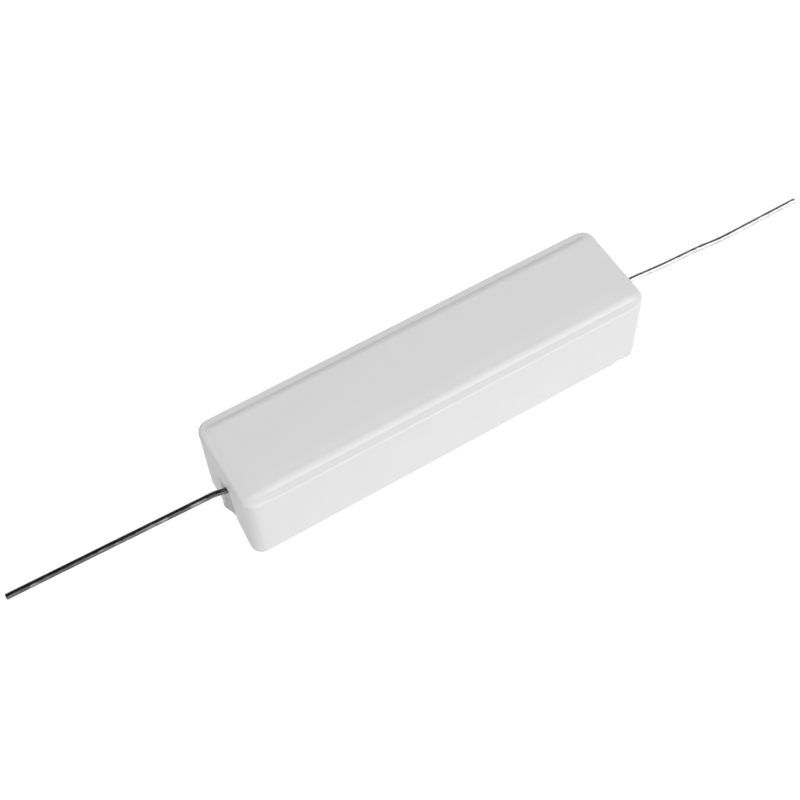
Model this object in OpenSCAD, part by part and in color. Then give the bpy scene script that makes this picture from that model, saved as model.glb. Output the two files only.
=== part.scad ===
// White ceramic power resistor with a solid wire lead out of each end.
// The trough stands on its rim, with the cement inside it facing down. +X runs along the leads.

/* [Ceramic case] */
// Length of the case
case_l = 60; // [45:1:90]
// Width of the case
case_w = 14.3; // [12:0.1:20]
// Height of the case, with its raised panel
case_h = 13; // [12.5:0.1:18]
// Thickness of the long walls
side_wall = 1.6; // [1:0.1:2.2]
// Thickness of the end walls
end_wall = 2; // [1:0.1:4]
// Thickness of the closed top, with its raised panel
top_wall = 1.8; // [1.2:0.1:2.3]
// Radius of the upright outer corners
corner_r = 1.8; // [0.8:0.1:3]
// Radius of the upright corners inside the trough
cavity_r = 0.8; // [0.3:0.1:2]
// Rounding of the rim's outer edge
rim_r = 0.25; // [0.1:0.05:0.5]
// Rounding of the edge where the walls meet the shoulder
shoulder_r = 0.25; // [0.1:0.05:0.5]

/* [Raised panel] */
// Width of the shoulder around the panel
shoulder_w = 1; // [0.5:0.05:1.5]
// How far the shoulder slopes down towards the walls
shoulder_drop = 0.25; // [0.05:0.05:0.4]
// Height of the panel above the top of the shoulder
panel_rise = 0.45; // [0.2:0.05:0.8]
// Width of the panel's rounded border
border_w = 1.1; // [0.6:0.05:2]

/* [Lead notches] */
// Width of the notch in each end wall
notch_w = 2.6; // [1.4:0.1:4]
// Room above the lead in the notch
notch_room = 1.1; // [0.05:0.05:1.5]
// Rounding of the notch's upper corners
notch_r = 0.3; // [0.1:0.1:0.6]

/* [Wear] */
// Place of the nick in the rim of the front wall, from the middle of the case
nick_x = 26.95; // [-25:0.05:27]
// Half the width of the nick
nick_half = 1.05; // [0.3:0.05:2]
// Depth of the nick
nick_depth = 0.5; // [0.1:0.05:1]
// How far the left end wall leans in beside its notch
lean_in = 0.37; // [0.1:0.01:0.6]
// Width of the stretch of end wall that leans in, in front of the centre line
lean_w = 6.4; // [3:0.1:6.8]
// Width of the stretch that leans in behind the centre line
lean_back_w = 1.3; // [0.5:0.1:6.8]

/* [Cement] */
// Depth of the cement below the rim where it meets the walls
fill_recess = 0.35; // [0.1:0.05:1]
// Width of the border over which the cement rises to the level of the rim
fill_border_w = 2.2; // [0.5:0.1:4]
// Cement between each end cap and the end wall
end_cover = 2.6; // [1:0.1:6]
// Angle in plan between the cement's face in a notch and the end wall
plug_slant = 11; // [0:1:20]
// Clearance between pieces that fit together
fit_gap = 0.02; // [0.01:0.01:0.05]

/* [Wound element] */
// Diameter of the ceramic rod
core_d = 5.5; // [3.5:0.1:7]
// Thickness of the end caps' metal
cap_t = 0.4; // [0.2:0.05:0.6]
// Depth to which each cap covers the rod
cap_depth = 5; // [2:0.5:8]
// Diameter of the resistance wire
wire_d = 0.3; // [0.1:0.05:0.4]
// Distance between turns of the resistance wire
wire_pitch = 1.6; // [1:0.1:3]

/* [Leads] */
// Diameter of the leads
lead_d = 0.8; // [0.5:0.05:1.2]
// Length of wire outside the case on the left
left_lead_l = 29.5; // [15:0.5:45]
// Length of wire outside the case on the right
right_lead_l = 31.8; // [25:0.5:45]
// Height of the leads above the rim
lead_z = 6.5; // [5.5:0.1:7]
// Radius of the bends in the leads
lead_bend_r = 3; // [1:0.5:6]
// Straight wire between the case and the left lead's first bend
left_first_l = 0.1; // [0.1:0.1:3]
// Straight wire between the left lead's two bends
left_second_l = 0.9; // [0.2:0.1:3]
// Straight wire between the case and the right lead's first bend
right_first_l = 0.5; // [0.1:0.1:3]
// Straight wire before the right lead's second bend
right_second_l = 13.9; // [2:0.1:16]
// Straight wire before the right lead's last bend
right_third_l = 2.9; // [1:0.1:5]
// Width of the worn edge at the cut end of each lead
tip_worn = 0.08; // [0.02:0.02:0.2]

/* [Hidden] */
$fn = 64;

// Height of the shoulder above the rim
shoulder_h = case_h - panel_rise;
// Size of the raised panel at the shoulder
panel_l = case_l - 2 * shoulder_w;
panel_w = case_w - 2 * shoulder_w;
// Flat left at the corners of a slab, inside its rounded or sloping border
corner_flat = 0.1;
// Width of the part of the shoulder that slopes
slope_w = min(shoulder_w, corner_r - corner_flat);
// How far pieces of one solid run into each other, and how far a cutter runs past its piece
sink = 0.5;
past = 1;

// Low strip of cement along the walls, outside its crowned face
fill_margin = 0.3;

// Inside of the trough
cavity_l = case_l - 2 * end_wall;
cavity_w = case_w - 2 * side_wall;
cavity_h = case_h - top_wall;

// Length and place of the wound element
cap_face_x = cavity_l / 2 - end_cover;
core_l = 2 * (cap_face_x - cap_t - fit_gap);
cap_r = core_d / 2 + fit_gap + cap_t;
cap_rim_x = cap_face_x - cap_t - cap_depth;

// Height of the notches above the rim
notch_h = lead_z + lead_d / 2 + notch_room;

// Helix of the resistance wire: steps in a turn, sides of the wire, radius to the wire's middle
helix_steps = 18;
wire_sides = 6;
helix_r = (core_d / 2 + fit_gap + wire_d / 2) / cos(180 / helix_steps);
helix_span = 2 * (cap_rim_x - fit_gap) - wire_d;
helix_turns = floor(helix_span / wire_pitch);
helix_pitch = helix_span / helix_turns;

// Radius of the hole that the wound element leaves in the cement
pocket_r = max(cap_r, helix_r + wire_d / 2) + fit_gap;

// Bends in each lead, outwards from the case: straight wire before the bend, and its angle in plan
left_bends = [[left_first_l, -14], [left_second_l, 12.5]];
right_bends = [[right_first_l, -2.2], [right_second_l, -4.2], [right_third_l, 6.9]];
// How far a bend runs into its straights, and how much thinner it is drawn
bend_lap = 0.05;
bend_thin = 0.01;

// Slab with round corners in plan. Its child is the section of its edge: x runs outwards from the
// corner's axis to r, and y runs up from 0 to h.
module edged_slab(l, w, r, h) {
    side_l = l - 2 * r;
    side_w = w - 2 * r;
    translate([-side_l / 2, -side_w / 2, 0]) cube([side_l, side_w, h]);
    for (flip = [0, 1]) {
        mirror([0, flip, 0])
            translate([-side_l / 2, side_w / 2, 0])
                rotate([90, 0, 90]) linear_extrude(height = side_l) children();
        mirror([flip, 0, 0])
            translate([side_l / 2, side_w / 2, 0])
                rotate([90, 0, 0]) linear_extrude(height = side_w) children();
        for (turn = [0, 1])
            mirror([flip, 0, 0]) mirror([0, turn, 0])
                translate([side_l / 2, side_w / 2, 0]) rotate_extrude(angle = 90) children();
    }
}

// Edge of the walls: round at the rim, then round again where the sloping shoulder starts
module wall_section() {
    slope_l = sqrt(slope_w * slope_w + shoulder_drop * shoulder_drop);
    arc_x = corner_r - shoulder_r;
    arc_drop = (shoulder_r * slope_l + (slope_w - shoulder_r) * shoulder_drop) / slope_w;
    arc_y = shoulder_h - arc_drop;
    square([corner_r - rim_r, rim_r]);
    translate([corner_r - rim_r, rim_r]) circle(r = rim_r);
    translate([arc_x, arc_y]) circle(r = shoulder_r);
    polygon([
        [0, rim_r], [corner_r, rim_r], [corner_r, arc_y], [arc_x, arc_y],
        [arc_x + shoulder_r * shoulder_drop / slope_l, arc_y + shoulder_r * slope_w / slope_l],
        [corner_r - slope_w, shoulder_h], [0, shoulder_h]]);
}

// Edge of a crowned slab: an arc that leaves the flat top smoothly and drops by rise over width w
module border_section(w, rise) {
    arc_r = (w * w + rise * rise) / (2 * rise);
    square([corner_flat + w, sink]);
    square([corner_flat, sink + rise]);
    intersection() {
        translate([0, sink]) square([corner_flat + w, rise]);
        translate([corner_flat, sink + rise - arc_r]) circle(r = arc_r, $fn = 128);
    }
}

// Slab of l by w that rises above z = 0 with a rounded border, and is sunk below it
module crowned_slab(l, w, border, rise) {
    translate([0, 0, -sink])
        edged_slab(l, w, corner_flat + border, sink + rise) border_section(border, rise);
}

// Rectangle with round corners
module round_rect(l, w, r) {
    square([l - 2 * r, w], center = true);
    square([l, w - 2 * r], center = true);
    for (sx = [-1, 1], sy = [-1, 1])
        translate([sx * (l / 2 - r), sy * (w / 2 - r)]) circle(r = r);
}

// Inside of the trough from height z0 upwards, smaller by gap on every wall
module trough_space(z0, gap) {
    translate([0, 0, z0])
        linear_extrude(height = cavity_h - gap - z0)
            round_rect(cavity_l - 2 * gap, cavity_w - 2 * gap, cavity_r - gap);
}

// Bar that fills both notches from height z0 upwards, out to x = reach on both sides
module notch_bar(z0, gap, reach) {
    half = notch_w / 2 - gap;
    top = notch_h - gap;
    translate([-reach, 0, 0]) rotate([90, 0, 90]) linear_extrude(height = 2 * reach) {
        translate([-half, z0]) square([2 * half, top - notch_r - z0]);
        translate([notch_r - half, z0]) square([2 * (half - notch_r), top - z0]);
        for (side = [-1, 1]) translate([side * (half - notch_r), top - notch_r]) circle(r = notch_r);
    }
}

// Sliver that is lost from the outer face of the left end wall in front of the centre line.
// It is deepest at the rim on that line, and runs out at the shoulder and at w from the line.
module lean_sliver(w) {
    over = 2; // size of the cutter against what it takes away
    x0 = lean_in - over * lean_in;
    translate([-case_l / 2, 0, 0])
        polyhedron(
            points = [[lean_in, 0, 0], [x0, 0, 0], [x0, -over * w, 0], [x0, 0, over * shoulder_h]],
            faces = [[0, 1, 2], [0, 2, 3], [0, 3, 1], [1, 3, 2]]);
}

// Both slivers of the left end wall
module lean() {
    lean_sliver(lean_w);
    mirror([0, 1, 0]) lean_sliver(lean_back_w);
}

// Scoop left by the chip of ceramic that broke off the rim of the front wall
module nick() {
    r = (nick_half * nick_half + nick_depth * nick_depth) / (2 * nick_depth);
    translate([nick_x, -case_w / 2, nick_depth - r]) sphere(r = r);
}

module ceramic_case() {
    color([0.93, 0.93, 0.92])
    difference() {
        union() {
            edged_slab(case_l, case_w, corner_r, shoulder_h) wall_section();
            translate([0, 0, shoulder_h]) crowned_slab(panel_l, panel_w, border_w, panel_rise);
        }
        trough_space(-past, 0);
        notch_bar(-past, 0, case_l / 2 + past);
        lean();
        nick();
    }
}

// What the slanted face of the cement leaves empty in the left notch
module plug_cut() {
    translate([-case_l / 2, notch_w / 2, 0])
        rotate([0, 0, plug_slant]) translate([-end_wall, -2 * notch_w, 0])
            cube([end_wall, 2 * notch_w + end_wall, notch_h + past]);
}

module cement_fill() {
    color([0.72, 0.72, 0.71])
    difference() {
        union() {
            trough_space(fill_recess, fit_gap);
            translate([0, 0, fill_recess]) mirror([0, 0, 1])
                crowned_slab(cavity_l - 2 * fill_margin, cavity_w - 2 * fill_margin,
                             fill_border_w, fill_recess);
            notch_bar(fill_recess, fit_gap, case_l / 2);
        }
        translate([-cap_face_x, 0, lead_z]) rotate([0, 90, 0]) cylinder(r = pocket_r, h = 2 * cap_face_x);
        translate([-case_l / 2 - past, 0, lead_z])
            rotate([0, 90, 0]) cylinder(r = lead_d / 2 + fit_gap, h = case_l + 2 * past);
        for (turn = [0, 180]) rotate([0, 0, turn]) plug_cut();
    }
}

module core_rod() {
    color([0.85, 0.83, 0.78])
    translate([-core_l / 2, 0, lead_z]) rotate([0, 90, 0]) cylinder(d = core_d, h = core_l);
}

// Ring of points around the wire at step i of the helix
function wire_ring(i) = let(turn = 360 * i / helix_steps, x = helix_pitch * i / helix_steps - helix_span / 2)
    [for (s = [0 : wire_sides - 1]) let(a = 360 * s / wire_sides, r = helix_r + wire_d / 2 * sin(a))
        [x + wire_d / 2 * cos(a), r * cos(turn), r * sin(turn)]];

module resistance_winding() {
    last = helix_turns * helix_steps;
    points = [for (i = [0 : last]) each wire_ring(i)];
    sides = [for (i = [0 : last - 1], s = [0 : wire_sides - 1])
        let(a = i * wire_sides + s, b = i * wire_sides + (s + 1) % wire_sides)
            each [[a, b, b + wire_sides], [a, b + wire_sides, a + wire_sides]]];
    first_end = [for (s = [0 : wire_sides - 1]) wire_sides - 1 - s];
    last_end = [for (s = [0 : wire_sides - 1]) last * wire_sides + s];
    color([0.55, 0.5, 0.45])
    translate([0, 0, lead_z]) polyhedron(points = points, faces = concat(sides, [first_end, last_end]));
}

// Pressed cup over one end of the rod, with its closed end at the right
module end_cap() {
    bend = cap_t;
    hole_r = cap_r - cap_t;
    translate([cap_rim_x, 0, lead_z]) rotate([0, 90, 0])
        rotate_extrude() {
            translate([hole_r, 0]) square([cap_t, cap_depth]);
            translate([0, cap_depth]) square([cap_r - bend, cap_t]);
            translate([cap_r - bend, cap_depth]) intersection() {
                circle(r = bend);
                square([bend, bend]);
            }
        }
}

module end_cap_left() {
    color([0.75, 0.75, 0.76]) mirror([1, 0, 0]) end_cap();
}

module end_cap_right() {
    color([0.75, 0.75, 0.76]) end_cap();
}

// Length of wire that the first n bends and the straights before them take up
function bends_l(bends, n) = n == 0 ? 0
    : bends[n - 1][0] + lead_bend_r * PI / 180 * abs(bends[n - 1][1]) + bends_l(bends, n - 1);

// Straight wire along +X with a worn cut end
module worn_end(l) {
    r = lead_d / 2;
    rotate([0, 90, 0]) rotate_extrude()
        polygon([[0, 0], [r, 0], [r, l - tip_worn], [r - tip_worn, l], [0, l]]);
}

// Round wire along +X with bends in plan from number i on. Each bend runs a little way into the
// straights beside it, and is drawn thinner by a hair.
module wire_run(bends, tail, i) {
    if (i < len(bends)) {
        ahead = bends[i][0];
        turn = bends[i][1];
        side = sign(turn);
        lap = bend_lap / lead_bend_r * 180 / PI;
        rotate([0, 90, 0]) cylinder(d = lead_d, h = ahead);
        translate([ahead, side * lead_bend_r, 0]) {
            rotate([0, 0, (side > 0 ? -90 : 90 + turn) - lap])
                rotate_extrude(angle = abs(turn) + 2 * lap)
                    translate([lead_bend_r, 0]) circle(d = lead_d - bend_thin);
            rotate([0, 0, turn]) translate([0, -side * lead_bend_r, 0]) wire_run(bends, tail, i + 1);
        }
    } else {
        worn_end(tail);
    }
}

// Lead on the right: straight from its end cap through the cement, then its bends
module lead(bends, outside) {
    inside = case_l / 2 - cap_face_x;
    first = [[inside + bends[0][0], bends[0][1]]];
    rest = [for (i = [1 : 1 : len(bends) - 1]) bends[i]];
    translate([cap_face_x, 0, lead_z])
        wire_run(concat(first, rest), outside - bends_l(bends, len(bends)), 0);
}

module lead_left() {
    color([0.6, 0.6, 0.61]) rotate([0, 0, 180]) lead(left_bends, left_lead_l);
}

module lead_right() {
    color([0.6, 0.6, 0.61]) lead(right_bends, right_lead_l);
}

ceramic_case();
cement_fill();
core_rod();
resistance_winding();
end_cap_left();
end_cap_right();
lead_left();
lead_right();
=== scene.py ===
"""White ceramic power resistor with wire leads, seen from above on a pale surface."""
import math

import bmesh
import bpy
from mathutils import Matrix, Vector, noise


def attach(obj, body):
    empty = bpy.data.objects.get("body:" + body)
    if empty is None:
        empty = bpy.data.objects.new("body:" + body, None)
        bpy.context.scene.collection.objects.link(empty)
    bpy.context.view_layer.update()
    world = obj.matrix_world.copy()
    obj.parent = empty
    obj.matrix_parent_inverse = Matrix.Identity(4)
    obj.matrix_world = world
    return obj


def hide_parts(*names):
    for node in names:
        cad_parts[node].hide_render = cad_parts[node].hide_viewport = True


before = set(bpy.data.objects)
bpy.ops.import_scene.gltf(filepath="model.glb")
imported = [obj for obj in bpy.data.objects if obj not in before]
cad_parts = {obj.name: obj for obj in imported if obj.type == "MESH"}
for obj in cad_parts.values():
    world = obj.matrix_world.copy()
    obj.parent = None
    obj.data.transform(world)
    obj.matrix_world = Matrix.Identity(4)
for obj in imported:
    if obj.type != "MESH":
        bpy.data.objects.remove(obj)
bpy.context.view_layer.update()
MM = 0.001

# The camera looks at the middle of the case, from the front left and above
CASE_MIDDLE = Vector((0, 0, 6.48)) * MM
CAMERA_AZIMUTH = math.radians(-29.653)
CAMERA_ELEVATION = math.radians(58.834)
CAMERA_ROLL = math.radians(-1.586)
CAMERA_DISTANCE = 176.354 * MM
CAMERA_SLIDE_RIGHT = -3.505 * MM
CAMERA_SLIDE_UP = -1.823 * MM
CAMERA_CLIP_START = 10 * MM
# Lens and sensor in the camera's own millimetres
CAMERA_LENS = 59.746
SENSOR_WIDTH = 36


def add_camera():
    """Camera at the photograph's angle, slid in its own plane to frame the leads."""
    az, el = CAMERA_AZIMUTH, CAMERA_ELEVATION
    back = Vector((math.sin(az) * math.cos(el), -math.cos(az) * math.cos(el), math.sin(el)))
    right = Vector((0, 0, 1)).cross(back).normalized()
    up = back.cross(right)
    tilt = Matrix.Rotation(CAMERA_ROLL, 3, back)
    right, up = tilt @ right, tilt @ up
    data = bpy.data.cameras.new("camera")
    data.lens = CAMERA_LENS
    data.sensor_width = SENSOR_WIDTH
    data.clip_start = CAMERA_CLIP_START
    camera = bpy.data.objects.new("camera", data)
    camera.matrix_world = Matrix((right, up, back)).transposed().to_4x4()
    camera.location = (CASE_MIDDLE + back * CAMERA_DISTANCE
                       + right * CAMERA_SLIDE_RIGHT + up * CAMERA_SLIDE_UP)
    bpy.context.collection.objects.link(camera)
    bpy.context.scene.camera = camera


# Lights

# Name, direction from the case, distance and size in metres, watts, and whether metal mirrors it
LAMPS = (
    ("softbox_top", (0.0, 0.0, 1.0), 0.6, 0.5, 1.68, False),
    ("softbox_front", (-0.1, -1.0, 0.55), 0.6, 0.5, 0.92, True),
    ("softbox_left", (-1.0, -0.1, 0.6), 0.6, 0.5, 0.22, False),
    ("softbox_right", (0.5, -0.6, 0.6), 0.5, 0.5, 1.14, True),
)
# White at the horizon, dark overhead: height of the direction, and brightness
SKY = ((0.0, 1.0), (0.12, 0.95), (0.3, 0.25), (0.55, 0.08), (1.0, 0.05))


def add_softbox(name, direction, distance, size, watts, mirrored):
    """Square area lamp that faces the middle of the case."""
    data = bpy.data.lights.new(name, "AREA")
    data.shape = "SQUARE"
    data.size = size
    data.energy = watts
    lamp = bpy.data.objects.new(name, data)
    towards = Vector(direction).normalized()
    lamp.location = CASE_MIDDLE + towards * distance
    lamp.rotation_euler = towards.to_track_quat("Z", "Y").to_euler()
    lamp.visible_glossy = mirrored
    bpy.context.collection.objects.link(lamp)


def add_world():
    """White surroundings at the horizon, darker overhead."""
    world = bpy.data.worlds.new("studio")
    bpy.context.scene.world = world
    world.use_nodes = True
    nodes, links = world.node_tree.nodes, world.node_tree.links
    nodes.clear()
    out = nodes.new("ShaderNodeOutputWorld")
    light = nodes.new("ShaderNodeBackground")
    light.inputs["Strength"].default_value = 1
    coord = nodes.new("ShaderNodeTexCoord")
    split = nodes.new("ShaderNodeSeparateXYZ")
    ramp = nodes.new("ShaderNodeValToRGB")
    set_ramp(ramp, SKY)
    links.new(coord.outputs["Generated"], split.inputs[0])
    links.new(split.outputs["Z"], ramp.inputs[0])
    links.new(ramp.outputs[0], light.inputs["Color"])
    links.new(light.outputs[0], out.inputs[0])


def set_ramp(ramp, stops):
    """Sets a colour ramp from (place, grey) or (place, (r, g, b)) pairs."""
    elements = ramp.color_ramp.elements
    while len(elements) < len(stops):
        elements.new(0.5)
    for element, (place, value) in zip(elements, stops):
        element.position = place
        colour = value if isinstance(value, tuple) else (value,) * 3
        element.color = (*colour, 1)


# Materials

class Shader:
    """Short way to build one principled material from nodes."""

    def __init__(self, name):
        self.material = bpy.data.materials.new(name)
        self.material.use_nodes = True
        self.nodes = self.material.node_tree.nodes
        self.links = self.material.node_tree.links
        self.bsdf = self.nodes["Principled BSDF"]
        coord = self.nodes.new("ShaderNodeTexCoord")
        self.place = coord.outputs["Object"]

    def scaled(self, scale):
        """Object coordinates, stretched by scale along X, Y and Z."""
        node = self.nodes.new("ShaderNodeMapping")
        node.inputs["Scale"].default_value = scale
        self.links.new(self.place, node.inputs["Vector"])
        return node.outputs[0]

    def noise(self, scale, detail=4, rough=0.55, place=None):
        node = self.nodes.new("ShaderNodeTexNoise")
        node.inputs["Scale"].default_value = scale
        node.inputs["Detail"].default_value = detail
        node.inputs["Roughness"].default_value = rough
        self.links.new(place or self.place, node.inputs["Vector"])
        return node.outputs["Fac"]

    def ramp(self, value, stops):
        node = self.nodes.new("ShaderNodeValToRGB")
        set_ramp(node, stops)
        self.links.new(value, node.inputs[0])
        return node.outputs[0]

    def mix(self, factor, a, b, blend="MIX"):
        node = self.nodes.new("ShaderNodeMix")
        node.data_type = "RGBA"
        node.blend_type = blend
        for socket, value in ((0, factor), (6, a), (7, b)):
            if isinstance(value, (int, float)):
                node.inputs[socket].default_value = value
            elif isinstance(value, tuple):
                node.inputs[socket].default_value = (*value, 1)
            else:
                self.links.new(value, node.inputs[socket])
        return node.outputs[2]

    def add(self, a, b, scale_b):
        node = self.nodes.new("ShaderNodeMath")
        node.operation = "MULTIPLY_ADD"
        self.links.new(b, node.inputs[0])
        node.inputs[1].default_value = scale_b
        self.links.new(a, node.inputs[2])
        return node.outputs[0]

    def bump(self, height, depth, strength):
        node = self.nodes.new("ShaderNodeBump")
        node.inputs["Strength"].default_value = strength
        node.inputs["Distance"].default_value = depth
        self.links.new(height, node.inputs["Height"])
        self.links.new(node.outputs[0], self.bsdf.inputs["Normal"])

    def colour(self, socket):
        self.links.new(socket, self.bsdf.inputs["Base Color"])

    def rough(self, socket):
        self.links.new(socket, self.bsdf.inputs["Roughness"])


CERAMIC_DULL, CERAMIC_BRIGHT = 0.775, 0.79


def ceramic_material():
    """Pressed and fired white ceramic: fine grain, faint clouds and a few specks."""
    s = Shader("white_ceramic")
    clouds = s.ramp(s.noise(90, 5), ((0.3, CERAMIC_DULL), (0.7, CERAMIC_BRIGHT)))
    specks = s.ramp(s.noise(1400, 2), ((0.22, 0.97), (0.3, 1.0)))
    s.colour(s.mix(1.0, clouds, specks, "MULTIPLY"))
    s.rough(s.ramp(s.noise(300, 3), ((0.35, 0.42), (0.65, 0.52))))
    s.bsdf.inputs["Specular IOR Level"].default_value = 0.35
    s.bump(s.add(s.noise(2500, 3), s.noise(350, 3), 2.0), 0.00002, 0.35)
    return s.material


# Heights in millimetres where the cement passes from its darker grey below the leads, which is partly painted
# shade, to the ceramic's white above them
ABOVE_LEAD_LOW_Z, ABOVE_LEAD_FULL_Z = 6.5, 6.9
HEIGHT_RAMP_Z = 10


def cement_material():
    """Set cement: pale grey, grainy and pitted, and white above the leads. The grey below the leads is partly
    painted shade.
    """
    s = Shader("cement")
    tone = s.ramp(s.noise(350, 6, 0.65), ((0.3, 0.63), (0.7, 0.73)))
    grains = s.ramp(s.noise(2600, 3), ((0.3, 0.88), (0.5, 1.0)))
    split = s.nodes.new("ShaderNodeSeparateXYZ")
    s.links.new(s.scaled((1, 1, 1 / (HEIGHT_RAMP_Z * MM))), split.inputs[0])
    # Partly painted shade: the cement keeps its darker grey below the leads and takes the ceramic's white
    # above them
    above_leads_white = s.ramp(split.outputs["Z"], ((ABOVE_LEAD_LOW_Z / HEIGHT_RAMP_Z, 0.0), (ABOVE_LEAD_FULL_Z / HEIGHT_RAMP_Z, 1.0)))
    s.colour(s.mix(above_leads_white, s.mix(1.0, tone, grains, "MULTIPLY"), (CERAMIC_DULL,) * 3))
    s.bsdf.inputs["Roughness"].default_value = 0.9
    s.bump(s.add(s.noise(1500, 5), s.noise(350, 4), 3.0), 0.00012, 0.8)
    return s.material


def tinned_material(name, dull, bright, scuffed):
    """Tinned wire: drawn along X, dull in patches, with light scuffs."""
    s = Shader(name)
    along = s.scaled((0.06, 1, 1))
    streaks = s.ramp(s.noise(5000, 3, 0.6, along), ((0.3, dull), (0.7, bright)))
    patches = s.ramp(s.noise(700, 4), ((0.35, 0.75), (0.65, 1.0)))
    scuffs = s.ramp(s.noise(1300, 3, 0.5, s.scaled((0.35, 1, 1))), ((0.6, 0.0), (0.68, 0.8)))
    s.colour(s.mix(scuffs, s.mix(1.0, streaks, patches, "MULTIPLY"), (scuffed,) * 3))
    s.bsdf.inputs["Metallic"].default_value = 1.0
    s.rough(s.ramp(s.noise(1100, 4), ((0.3, 0.2), (0.7, 0.38))))
    s.bump(s.noise(4000, 3, 0.5, along), 0.00002, 0.5)
    return s.material


def rod_material():
    """Unglazed off-white ceramic of the rod."""
    s = Shader("rod_ceramic")
    s.colour(s.ramp(s.noise(500, 4), ((0.3, (0.70, 0.67, 0.60)), (0.7, (0.78, 0.75, 0.68)))))
    s.bsdf.inputs["Roughness"].default_value = 0.7
    s.bump(s.noise(3000, 3), 0.00002, 0.5)
    return s.material


def alloy_material():
    """Drawn resistance alloy, slightly brown."""
    s = Shader("resistance_alloy")
    s.colour(s.ramp(s.noise(900, 3), ((0.3, (0.42, 0.37, 0.31)), (0.7, (0.55, 0.49, 0.42)))))
    s.bsdf.inputs["Metallic"].default_value = 1.0
    s.rough(s.ramp(s.noise(1500, 3), ((0.3, 0.3), (0.7, 0.5))))
    return s.material


def cap_material():
    """Pressed steel cap with a tin finish."""
    s = Shader("cap_tin")
    s.colour(s.ramp(s.noise(800, 4), ((0.3, 0.58), (0.7, 0.72))))
    s.bsdf.inputs["Metallic"].default_value = 1.0
    s.rough(s.ramp(s.noise(1200, 3), ((0.3, 0.25), (0.7, 0.45))))
    return s.material


# Grey that lights the object, grey and glow that the camera and mirrors see
FLOOR_COLOUR, FLOOR_COLOUR_SEEN, FLOOR_GLOW = 0.8, 0.18, 0.92
# Metres from the middle to each side, and how far the floor lies below the rim
FLOOR_HALF = 3.0
FLOOR_BELOW = 0.02 * MM


def floor_material():
    """White surface. The camera and mirrors see it lit from within, and it keeps the shadow."""
    material = bpy.data.materials.new("pale_floor")
    material.use_nodes = True
    nodes, links = material.node_tree.nodes, material.node_tree.links
    nodes.clear()

    def calculate(operation, *values):
        node = nodes.new("ShaderNodeMath")
        node.operation = operation
        for socket, value in zip(node.inputs, values):
            if isinstance(value, (int, float)):
                socket.default_value = value
            else:
                links.new(value, socket)
        return node.outputs[0]

    path = nodes.new("ShaderNodeLightPath")
    seen = calculate("MAXIMUM", path.outputs["Is Camera Ray"], path.outputs["Is Glossy Ray"])
    seen = calculate("MAXIMUM", seen, path.outputs["Is Transmission Ray"])
    glow = nodes.new("ShaderNodeEmission")
    glow.inputs["Color"].default_value = (1, 1, 1, 1)
    links.new(calculate("MULTIPLY", seen, FLOOR_GLOW), glow.inputs["Strength"])
    # Where it is seen, the lit floor comes out just at white, so that it doesn't eat into outlines
    colour = calculate("MULTIPLY_ADD", seen, FLOOR_COLOUR_SEEN - FLOOR_COLOUR, FLOOR_COLOUR)
    diffuse = nodes.new("ShaderNodeBsdfDiffuse")
    links.new(colour, diffuse.inputs["Color"])
    both = nodes.new("ShaderNodeAddShader")
    links.new(diffuse.outputs[0], both.inputs[0])
    links.new(glow.outputs[0], both.inputs[1])
    out = nodes.new("ShaderNodeOutputMaterial")
    links.new(both.outputs[0], out.inputs[0])
    return material


def add_floor():
    """Square floor just under the rim."""
    mesh = bpy.data.meshes.new("floor")
    h = FLOOR_HALF
    mesh.from_pydata([(-h, -h, 0), (h, -h, 0), (h, h, 0), (-h, h, 0)], [], [(0, 1, 2, 3)])
    floor = bpy.data.objects.new("floor", mesh)
    floor.location.z = -FLOOR_BELOW
    mesh.materials.append(floor_material())
    bpy.context.collection.objects.link(floor)


def dress(node, material):
    """Gives a CAD node one material."""
    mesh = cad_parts[node].data
    mesh.materials.clear()
    mesh.materials.append(material)


# Shapes. All of these lengths are in millimetres, and a finished piece is scaled to metres.

HALF_L, HALF_W, CASE_H = 30.0, 7.15, 13.0
CAVITY_HALF_L, CAVITY_HALF_W, CAVITY_H, CAVITY_R = 28.0, 5.55, 11.2, 0.8
CORNER_R, LEAST_CORNER_R = 1.8, 0.12
# How much sharper each upright corner is at the rim, from the front right round by the back
CORNERS_SHARPER = (0.7, 0.0, 0.0, 0.1)
RIM_R, RIM_STEPS = 0.06, 3
# Long sides: round edge, sloping shoulder, then the panel's border
EDGE_R = 0.25
SHOULDER_W, SHOULDER_Z, FRONT_DROP, BACK_DROP = 1.0, 12.55, 0.25, 0.06
BORDER_END, BORDER_ARC_R = 2.1, 1.569
# The crease between shoulder and border is softened by this much, between these distances in
CREASE_SOFT, CREASE_RISE, CREASE_FALL = 0.06, (0.5, 0.8), (1.5, 2.0)
FRONT_ROLL_END, FRONT_ROLL = 3.7, 0.08
# Short ends: a round edge, a low rise, then a slight slope up to the panel
LEFT_EDGE_R, RIGHT_EDGE_R = 0.5, 0.35
END_LOW_Z, END_RISE, END_RISE_START, END_RISE_END, END_SLOPE_L = 12.78, 0.08, 0.6, 1.7, 4.2
# The left end wall leans in towards its foot, most at the middle, and less towards front and back
LEAN_IN, LEAN_FRONT_W, LEAN_BACK_W = 0.37, 6.4, 1.3
LIP, LIP_Y, LIP_W, LIP_FULL_Z, LIP_END_Z = 0.27, 1.5, 0.65, 0.3, 2.2
# The walls waver inwards by up to this share of the reach, and the panel dips by up to DIP
WAVE_REACH, WAVE_SHARE, WAVE_SCALE, WAVE_FULL_Z, WAVE_END = 0.1, 0.15, 0.16, 1, 2
DIP, DIP_SCALE, DIP_END = 0.012, 0.12, 6.5
NOTCH_HALF, NOTCH_TOP, NOTCH_R = 1.3, 8.0, 0.3
NICK_X, NICK_HALF, NICK_DEPTH = 26.95, 1.05, 0.5
GAP, OVERCUT = 0.02, 1
LEAD_R, LEAD_Z = 0.4, 6.5
CAP_FACE_X, POCKET_R = 25.4, 3.19
LONG_STEPS, END_STEPS, CORNER_STEPS = 120, 32, 12
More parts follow.
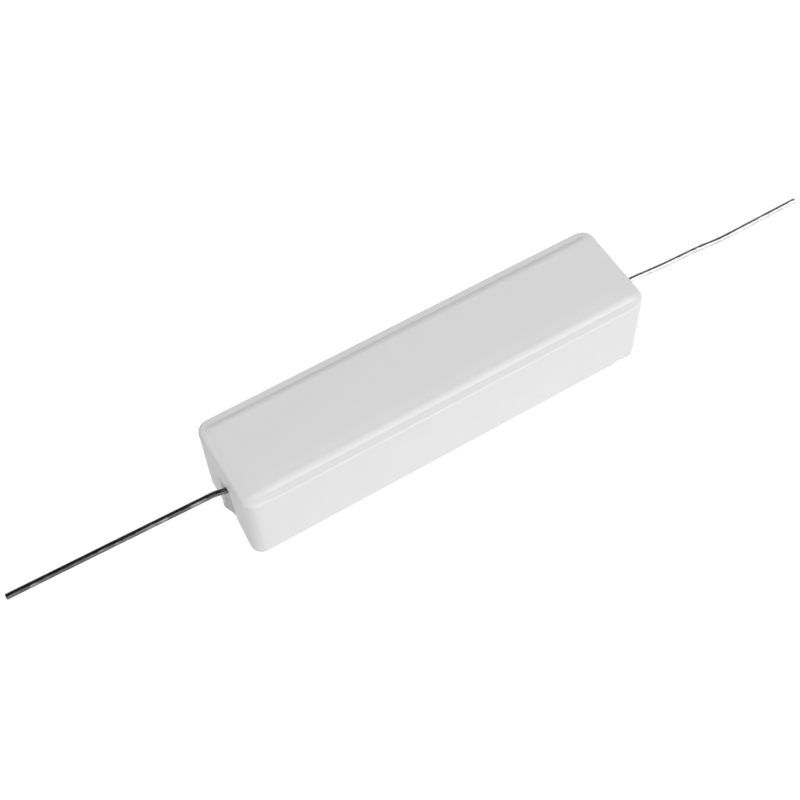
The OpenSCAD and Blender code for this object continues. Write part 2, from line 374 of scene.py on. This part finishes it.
# Edges that turn by more than this stay sharp
SHARP_DEGREES, WIRE_SHARP_DEGREES = 40, 50
# Rings of the case: shares of the wall's height, then distances in over the top, close where it bends
WALL_SHARES = (0.004, 0.01, *(step / 20 for step in range(1, 20)), 0.985, 0.994, 1)
TOP_INSETS = (0.004, 0.015, 0.034, 0.06, 0.09, 0.13, 0.17, 0.21, 0.25, 0.3, 0.36, 0.43, 0.5, 0.6, 0.7,
              0.8, 0.88, 0.94, 1.0, 1.06, 1.12, 1.2, 1.3, 1.4, 1.5, 1.6, 1.7, 1.8, 1.9, 2.0, 2.1,
              2.3, 2.6, 3.0, 3.4, 3.8, 4.2, 4.8, 5.6, 6.4, 7.0)


def smooth_step(low, high, value):
    """Soft rise from 0 at low to 1 at high."""
    t = min(max((value - low) / (high - low), 0), 1)
    return t * t * (3 - 2 * t)


def unevenness(point, scale, seed):
    """Smooth noise from 0 to 1."""
    return 0.5 + 0.5 * max(-1, min(1, noise.noise(Vector(point) * scale + Vector((seed, 0, 0)))))


def ring(half_l, half_w, radii):
    """Points around a rectangle with round corners, always the same number."""
    signs = ((1, -1), (1, 1), (-1, 1), (-1, -1))
    centres = [(sx * (half_l - r), sy * (half_w - r)) for (sx, sy), r in zip(signs, radii)]
    points = []
    for k, (centre, r) in enumerate(zip(centres, radii)):
        turn = math.radians(90 * k - 90)
        out = (math.cos(turn), math.sin(turn))
        start = [centres[k - 1][j] + radii[k - 1] * out[j] for j in (0, 1)]
        end = [centre[j] + r * out[j] for j in (0, 1)]
        steps = (LONG_STEPS, END_STEPS)[k % 2]
        for i in range(steps):
            points.append(tuple(start[j] + (end[j] - start[j]) * i / steps for j in (0, 1)))
        for i in range(CORNER_STEPS):
            a = turn + math.pi / 2 * i / CORNER_STEPS
            points.append((centre[0] + r * math.cos(a), centre[1] + r * math.sin(a)))
    return points


def loft(rings):
    """Closed mesh through rings of as many points, with both ends filled."""
    count = len(rings[0])
    points = [point for one in rings for point in one]
    faces = []
    for k in range(len(rings) - 1):
        for i in range(count):
            j = (i + 1) % count
            faces.append((k * count + i, k * count + j, (k + 1) * count + j, (k + 1) * count + i))
    faces.append(tuple(range(count))[::-1])
    faces.append(tuple(range((len(rings) - 1) * count, len(rings) * count)))
    return points, faces


def shape(name, points, faces):
    """Object in millimetres with its faces turned outwards."""
    mesh = bpy.data.meshes.new(name)
    mesh.from_pydata(points, [], faces)
    work = bmesh.new()
    work.from_mesh(mesh)
    bmesh.ops.recalc_face_normals(work, faces=work.faces)
    work.to_mesh(mesh)
    work.free()
    piece = bpy.data.objects.new(name, mesh)
    bpy.context.collection.objects.link(piece)
    return piece


def combine(piece, other, operation):
    """Cuts the other shape out of the piece, or joins it on, and deletes it."""
    modifier = piece.modifiers.new("combine", "BOOLEAN")
    modifier.operation = operation
    modifier.solver = "EXACT"
    modifier.object = other
    bpy.context.view_layer.update()
    made = piece.evaluated_get(bpy.context.evaluated_depsgraph_get())
    mesh = bpy.data.meshes.new_from_object(made)
    piece.modifiers.clear()
    piece.data = mesh
    bpy.data.objects.remove(other)


def finish_piece(piece, node, material, sharp_degrees):
    """Scales the piece to metres, marks its sharp edges and puts it in the node's place."""
    mesh = piece.data
    work = bmesh.new()
    work.from_mesh(mesh)
    bmesh.ops.scale(work, vec=(MM, MM, MM), verts=work.verts)
    for face in work.faces:
        face.smooth = True
    sharp = math.radians(sharp_degrees)
    for edge in work.edges:
        edge.smooth = len(edge.link_faces) == 2 and edge.calc_face_angle(0) < sharp
    work.to_mesh(mesh)
    work.free()
    mesh.materials.clear()
    mesh.materials.append(material)
    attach(piece, "root")
    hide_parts(node)


TUBE_SIDES = 64


def tube(name, half_l, r):
    """Round bar along X at the leads' height."""
    angles = [2 * math.pi * i / TUBE_SIDES for i in range(TUBE_SIDES)]
    section = [(r * math.cos(a), LEAD_Z + r * math.sin(a)) for a in angles]
    return shape(name, *loft([[(x, y, z) for y, z in section] for x in (-half_l, half_l)]))


def side_height(d, drop):
    """Height of the top at distance d in from a long wall, with the shoulder dropping outwards."""
    slope = drop / SHOULDER_W
    tangent = EDGE_R * (1 - slope / math.hypot(1, slope))
    if d < tangent:
        edge_z = SHOULDER_Z - slope * (SHOULDER_W - tangent) - EDGE_R / math.hypot(1, slope)
        return edge_z + math.sqrt(EDGE_R ** 2 - (EDGE_R - d) ** 2)
    if d < SHOULDER_W:
        return SHOULDER_Z - slope * (SHOULDER_W - d)
    left = max(BORDER_END - d, 0)
    return CASE_H - BORDER_ARC_R + math.sqrt(BORDER_ARC_R ** 2 - left ** 2)


def soft_side_height(d, drop):
    """The same with the crease filled a little."""
    soft = CREASE_SOFT * smooth_step(*CREASE_RISE, d) * (1 - smooth_step(*CREASE_FALL, d))
    return sum(side_height(d + soft * k / 2, drop) for k in (-2, -1, 0, 1, 2)) / 5


def front_height(d):
    """The front side also rolls off a little before the panel's border."""
    if d < BORDER_END:
        roll = max(d - SHOULDER_W, 0) / (BORDER_END - SHOULDER_W)
    else:
        roll = (max(FRONT_ROLL_END - d, 0) / (FRONT_ROLL_END - BORDER_END)) ** 2
    return soft_side_height(d, FRONT_DROP) - FRONT_ROLL * roll


def end_height(d, edge_r):
    """Height of the top at distance d in from an end wall."""
    left = max(1 - d / END_SLOPE_L, 0)
    slope_h = CASE_H - END_LOW_Z - END_RISE
    round_off = edge_r - math.sqrt(edge_r ** 2 - max(edge_r - d, 0) ** 2)
    rise = END_RISE * smooth_step(END_RISE_START, END_RISE_END, d)
    return END_LOW_Z + rise + slope_h * (1 - left ** 2) - round_off


def lip(y, z):
    """How far the end stands out beside the notch, near the rim."""
    return LIP * math.exp(-((y - LIP_Y) / LIP_W) ** 2) * (1 - smooth_step(LIP_FULL_Z, LIP_END_Z, z))


def lean(y, z):
    """How far the left end wall leans in at its outer face, less the lip behind the notch."""
    across = 1 + y / LEAN_FRONT_W if y < 0 else 1 - y / LEAN_BACK_W
    return LEAN_IN * max(across, 0) * max(1 - z / SHOULDER_Z, 0) - lip(y, z) * (y > 0)


# The long sides' form passes into the ends' around each corner, and more slowly at the front left
BLEND_W, FRONT_LEFT_BLEND_W = 1.6, 5
# The front's form passes into the back's this far either side of the middle
MIDDLE_BLEND_W = 2
# The lean starts this far in from the end, and is full this far in
LEAN_START, LEAN_FULL = 1.8, 0.3
LEAST_INNER_R = 0.02


def case_ring(inset, radii, front_z, back_z, left_z, right_z):
    """Ring of the case at distance inset from its walls, with a height for each side."""
    outer = ring(HALF_L - inset, HALF_W - inset, radii)
    inner = ring(HALF_L - inset - WAVE_REACH, HALF_W - inset - WAVE_REACH,
                 [max(r - WAVE_REACH, LEAST_INNER_R) for r in radii])
    made = []
    for (x, y), (inner_x, inner_y) in zip(outer, inner):
        fade_start = -FRONT_LEFT_BLEND_W if x < 0 and y < 0 else -BLEND_W
        near_end = smooth_step(fade_start, BLEND_W, (HALF_W - abs(y)) - (HALF_L - abs(x)))
        side_z = front_z + (back_z - front_z) * smooth_step(-MIDDLE_BLEND_W, MIDDLE_BLEND_W, y)
        z = side_z + ((left_z if x < 0 else right_z) - side_z) * near_end
        wavy = WAVE_SHARE * unevenness((x, y, z), WAVE_SCALE, seed=3)
        wavy *= smooth_step(0, WAVE_FULL_Z, z) * (inset < WAVE_END)
        x, y = x + (inner_x - x) * wavy, y + (inner_y - y) * wavy
        if x < 0:
            x += lean(y, z) * smooth_step(HALF_L - LEAN_START, HALF_L - LEAN_FULL, -x)
        if BORDER_END < inset < DIP_END:
            z -= DIP * unevenness((x, y, 0), DIP_SCALE, seed=8)
        made.append((x, y, z))
    return made


def add_case(material):
    """Ceramic trough, open side down, with a notch in each end and a chip in the rim."""
    rings = []
    rim_radii = [CORNER_R - sharper for sharper in CORNERS_SHARPER]
    for step in range(RIM_STEPS + 1):
        a = math.pi / 2 * step / RIM_STEPS
        inset, z = RIM_R * (1 - math.sin(a)), RIM_R * (1 - math.cos(a))
        rings.append(case_ring(inset, rim_radii, z, z, z, z))

    def heights(d):
        return (front_height(d), soft_side_height(d, BACK_DROP),
                end_height(d, LEFT_EDGE_R), end_height(d, RIGHT_EDGE_R))

    tops = heights(0)
    for f in WALL_SHARES:
        radii = [CORNER_R - sharper * (1 - f) for sharper in CORNERS_SHARPER]
        rings.append(case_ring(0, radii, *(RIM_R + (top - RIM_R) * f for top in tops)))
    for inset in TOP_INSETS:
        rings.append(case_ring(inset, [max(CORNER_R - inset, LEAST_CORNER_R)] * 4, *heights(inset)))
    piece = shape("case", *loft(rings))
    cavity = ring(CAVITY_HALF_L, CAVITY_HALF_W, [CAVITY_R] * 4)
    hollow = [[(x, y, z) for x, y in cavity] for z in (-OVERCUT, CAVITY_H)]
    combine(piece, shape("hollow", *loft(hollow)), "DIFFERENCE")
    combine(piece, notch_bar(), "DIFFERENCE")
    combine(piece, chip(), "DIFFERENCE")
    finish_piece(piece, "ceramic_case", material, SHARP_DEGREES)


def notch_bar():
    """Bar through both notches with round upper corners."""
    half, top, r, reach = NOTCH_HALF, NOTCH_TOP, NOTCH_R, HALF_L + OVERCUT
    section = [(-half, -OVERCUT), (half, -OVERCUT)]
    for centre_y, start in ((half - r, 0), (r - half, 90)):
        for angle in range(start, start + 91, 15):
            a = math.radians(angle)
            section.append((centre_y + r * math.cos(a), top - r + r * math.sin(a)))
    return shape("notches", *loft([[(x, y, z) for y, z in section] for x in (-reach, reach)]))


# The chip's ball: shares of its radius, and how fine the ridges and bumps are
CHIP_LEAST, CHIP_RIDGES, CHIP_BUMPS = 0.95, 0.16, 0.03
CHIP_RIDGE_SCALE, CHIP_BUMP_SCALE, CHIP_SEED = 1.7, 6, Vector((4, 1, 7))


def chip():
    """Lumpy ball that leaves the broken scoop in the rim."""
    r = (NICK_HALF ** 2 + NICK_DEPTH ** 2) / (2 * NICK_DEPTH)
    mesh = bpy.data.meshes.new("chip")
    work = bmesh.new()
    bmesh.ops.create_icosphere(work, subdivisions=5, radius=r)
    for vert in work.verts:
        ridges = abs(noise.noise(vert.co * CHIP_RIDGE_SCALE + CHIP_SEED))
        bumps = noise.noise(vert.co * CHIP_BUMP_SCALE)
        vert.co *= CHIP_LEAST + CHIP_RIDGES * ridges + CHIP_BUMPS * bumps
        vert.co += Vector((NICK_X, -HALF_W, NICK_DEPTH - r))
    work.to_mesh(mesh)
    work.free()
    piece = bpy.data.objects.new("chip", mesh)
    bpy.context.collection.objects.link(piece)
    return piece


# The cement's face in a notch. Below the lead it curves in towards the front, and more at its foot.
CURVE_DEPTH, CURVE_Y, CURVE_W, CURVE_POWER = 0.5, 0.45, 1.75, 1.3
FOOT_DEPTH, FOOT_Z, FOOT_FULL_Y, FOOT_END_Y = 0.17, 1.2, 0.1, 0.9
FACE_LUMPS, FACE_LUMP_SCALE, FACE_GRAINS, FACE_GRAIN_SCALE = 0.05, 1.6, 0.02, 6
# Above the lead it is almost flush, but for a hollow in front of a slanting edge through one point
HOLLOW_DEPTH, HOLLOW_SOFT, HOLLOW_Y, HOLLOW_Z, HOLLOW_SLANT = 0.5, 0.15, 0.42, 6.686, 0.526
FLUSH_INSIDE = 0.005


def plug_recess(y, z):
    """How far the cement's face in a notch lies inside the end face."""
    below = CURVE_DEPTH * (max(CURVE_Y - y, 0) / CURVE_W) ** CURVE_POWER
    below += FOOT_DEPTH * (1 - smooth_step(0, FOOT_Z, z)) * (1 - smooth_step(FOOT_FULL_Y, FOOT_END_Y, y))
    below += (FACE_LUMPS * unevenness((y, z, 0), FACE_LUMP_SCALE, seed=5)
              + FACE_GRAINS * unevenness((y, z, 0), FACE_GRAIN_SCALE, seed=9))
    hollow_y = HOLLOW_Y - HOLLOW_SLANT * (z - HOLLOW_Z)
    above = HOLLOW_DEPTH * smooth_step(0, HOLLOW_SOFT, hollow_y - y) + lean(y, z) + FLUSH_INSIDE
    return below + (above - below) * smooth_step(ABOVE_LEAD_LOW_Z, ABOVE_LEAD_FULL_Z, z) - lip(y, z)


# The cement's underside: distances in of its rings, and how it climbs the walls
CEMENT_INSETS = (0, 0.1, 0.2, 0.3, 0.45, 0.6, 0.8, 1.0, 1.25, 1.5, 1.75, 2.0, 2.25, 2.5,
                 3.0, 3.6, 4.2, 4.8, 5.4)
CLIMB_DEPTH, CLIMB_START, CLIMB_W = 0.33, 0.3, 2.2
LUMPS, LUMP_SCALE, GRAINS, GRAIN_SCALE, ROUGH_END = 0.06, 0.7, 0.03, 2.5, 5
LEAST_CEMENT_R = 0.1


def add_cement(material):
    """Cement that fills the trough and both notches, hollow for the wound rod and the leads."""
    inside_l, inside_w, top = CAVITY_HALF_L - GAP, CAVITY_HALF_W - GAP, CAVITY_H - GAP
    inside_r = CAVITY_R - GAP
    rings = [[(x, y, top) for x, y in ring(inside_l, inside_w, [inside_r] * 4)]]
    for inset in CEMENT_INSETS:
        rise = max(1 - max(inset - CLIMB_START, 0) / CLIMB_W, 0)
        radii = [max(inside_r - inset, LEAST_CEMENT_R)] * 4
        made = []
        for x, y in ring(inside_l - inset, inside_w - inset, radii):
            rough = (LUMPS * unevenness((x, y, 0), LUMP_SCALE, seed=2)
                     + GRAINS * unevenness((x, y, 0), GRAIN_SCALE, seed=6))
            made.append((x, y, CLIMB_DEPTH * rise ** 2 + rough * (inset < ROUGH_END)))
        rings.append(made)
    piece = shape("cement", *loft(rings))
    for side in (-1, 1):
        combine(piece, plug(side), "UNION")
    combine(piece, tube("pocket", CAP_FACE_X, POCKET_R), "DIFFERENCE")
    combine(piece, tube("bore", HALF_L + OVERCUT, LEAD_R + GAP), "DIFFERENCE")
    finish_piece(piece, "cement_fill", material, SHARP_DEGREES)


# The plug keys slightly into the ceramic, so that no slit shows around it
KEYED_IN, PLUG_LOW_Z = 0.03, 0.03
PLUG_ROWS, PLUG_COLUMNS = 90, 40


def plug(side):
    """Cement that fills one notch, with a lumpy face."""
    low, top, half = PLUG_LOW_Z, NOTCH_TOP + KEYED_IN, NOTCH_HALF + KEYED_IN
    rows, columns = PLUG_ROWS, PLUG_COLUMNS
    points, faces = [], []
    for i in range(rows + 1):
        z = low + (top - low) * i / rows
        above = max(z - (top - NOTCH_R), 0)
        narrow = NOTCH_R - math.sqrt(max(NOTCH_R ** 2 - above ** 2, 0))
        for j in range(columns + 1):
            y = (half - narrow) * (2 * j / columns - 1)
            face_x = HALF_L - plug_recess(y, z)
            points.append((side * face_x, -side * y, z))
            points.append((side * (CAVITY_HALF_L - OVERCUT), -side * y, z))
    across = columns + 1

    def at(i, j, back):
        return 2 * (i * across + j) + back

    for i in range(rows):
        for j in range(columns):
            for back in (0, 1):
                faces.append((at(i, j, back), at(i, j + 1, back), at(i + 1, j + 1, back), at(i + 1, j, back)))
        for j in (0, columns):
            faces.append((at(i, j, 0), at(i + 1, j, 0), at(i + 1, j, 1), at(i, j, 1)))
    for j in range(columns):
        for i in (0, rows):
            faces.append((at(i, j, 0), at(i, j + 1, 0), at(i, j + 1, 1), at(i, j, 1)))
    return shape("plug", points, faces)


# Bends outwards from each cap: place along the wire, angle in degrees, length of wire that it takes
LEFT_BENDS = ((4.25, -12.0, 0.7), (5.95, 10.6, 0.9))
RIGHT_BENDS = ((8.4, -4.6, 3.0), (12.9, 2.7, 3.0), (19.2, -3.9, 3.0), (22.8, 5.95, 3.0))
LEFT_LENGTH, RIGHT_LENGTH = 34.08, 36.4
WIRE_STEP, WIRE_SIDES = 0.15, 36
# The cut end is worn round over its last stretch, in two steps
TIP_WORN, TIP_STEPS = 0.08, 2
# Flats are cut where the unevenness is over a level. Draw marks run along the wire.
FLAT_DEPTH, FLAT_LEVEL, FLAT_SCALE, FLAT_STRETCH = 0.12, 0.62, 1.3, 0.9
MARK_DEPTH, MARK_SCALE, MARK_STRETCH, MARKS_ROUND = 0.004, 3, 0.05, 3
# Both start where the wire comes out of the cement: places along the wire
MARKED_START, MARKED_FULL = 4.2, 4.8


def wire_radius(s, a):
    """Radius of the wire at place s along it, in direction a around it."""
    cos_a, sin_a = math.cos(a), math.sin(a)
    uneven = unevenness((s * FLAT_STRETCH, cos_a, sin_a), FLAT_SCALE, seed=11)
    flats = max(uneven - FLAT_LEVEL, 0) * FLAT_DEPTH
    along = (s * MARK_STRETCH, cos_a * MARKS_ROUND, sin_a * MARKS_ROUND)
    marks = MARK_DEPTH * unevenness(along, MARK_SCALE, seed=21)
    return LEAD_R - (flats + marks) * smooth_step(MARKED_START, MARKED_FULL, s)


def add_lead(name, node, side, bends, length, material):
    """Wire swept along its bends, with draw marks, flats and a worn cut end."""
    steps = round((length - TIP_WORN) / WIRE_STEP)
    step_l = (length - TIP_WORN) / steps
    x, y, rings = CAP_FACE_X, 0.0, []
    for i in range(steps + TIP_STEPS + 1):
        worn = TIP_WORN * max(i - steps, 0) / TIP_STEPS
        s = min(i, steps) * step_l + worn
        turn = math.radians(sum(angle * smooth_step(at - w / 2, at + w / 2, s) for at, angle, w in bends))
        made = []
        for k in range(WIRE_SIDES):
            a = 2 * math.pi * k / WIRE_SIDES
            r = wire_radius(s, a) - worn
            across, up = r * math.cos(a), r * math.sin(a)
            px, py = x - across * math.sin(turn), y + across * math.cos(turn)
            made.append((side * px, side * py, LEAD_Z + up))
        rings.append(made)
        ahead = step_l if i < steps else TIP_WORN / TIP_STEPS
        x, y = x + ahead * math.cos(turn), y + ahead * math.sin(turn)
    finish_piece(shape(name, *loft(rings)), node, material, WIRE_SHARP_DEGREES)


add_camera()
add_world()
add_floor()
for lamp_values in LAMPS:
    add_softbox(*lamp_values)

cap_tin = cap_material()
dress("core_rod", rod_material())
dress("resistance_winding", alloy_material())
for end in ("left", "right"):
    dress("end_cap_" + end, cap_tin)
add_case(ceramic_material())
add_cement(cement_material())
# The photograph's light makes the left lead darker than these lamps do, so its tin is darker
add_lead("wire_left", "lead_left", -1, LEFT_BENDS, LEFT_LENGTH,
         tinned_material("tin_left", dull=0.1, bright=0.19, scuffed=0.34))
add_lead("wire_right", "lead_right", 1, RIGHT_BENDS, RIGHT_LENGTH,
         tinned_material("tin_right", dull=0.72, bright=0.86, scuffed=0.8))

bpy.context.scene.view_settings.view_transform = "Standard"
